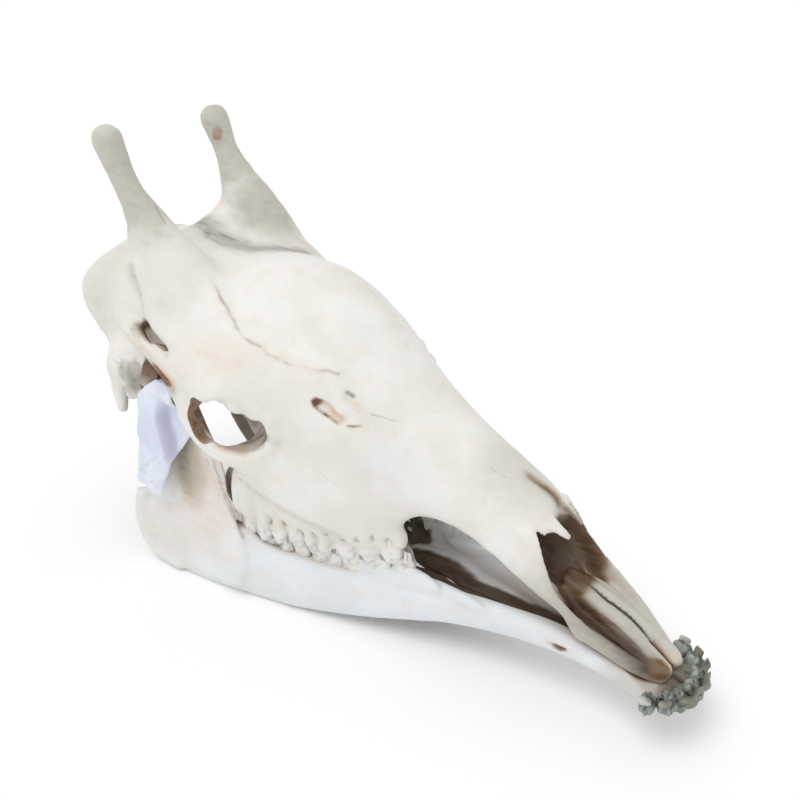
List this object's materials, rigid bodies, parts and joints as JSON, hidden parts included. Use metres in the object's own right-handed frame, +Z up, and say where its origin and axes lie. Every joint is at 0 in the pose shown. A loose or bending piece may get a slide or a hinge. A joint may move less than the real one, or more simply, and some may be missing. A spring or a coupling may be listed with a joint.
{
  "type": "giraffe skull",
  "caption": "Giraffe skull with its lower jaw in place, two short horns on the crown, long narrow face, open eye sockets and nose, lying on the lower edges of the jaw",
  "frame": {"origin": "bottom centre of the bounding box, on the floor between the lower edges of the jaw", "axes": "+X towards the muzzle, +Y towards the animal's left side, +Z up"},
  "size_m": [0.6254, 0.2206, 0.4404],
  "materials": {
    "cranium_bone": "smooth matt cream-white bone",
    "horn_bone": "matt pale grey bone",
    "muzzle_bone": "matt grey-brown stained bone",
    "jaw_bone": "smooth bluish white bone",
    "jaw_wrap": "soft pale blue-white wrapping strip"
  },
  "bodies": {
    "root": {"cranium": "cranium_bone", "ossicone_left": "horn_bone", "ossicone_right": "horn_bone", "premaxilla_left": "muzzle_bone", "premaxilla_right": "muzzle_bone", "mandible_left": "jaw_bone", "mandible_right": "jaw_bone", "jaw_wrap_left": "jaw_wrap", "jaw_wrap_right": "jaw_wrap"}
  },
  "joints": []
}
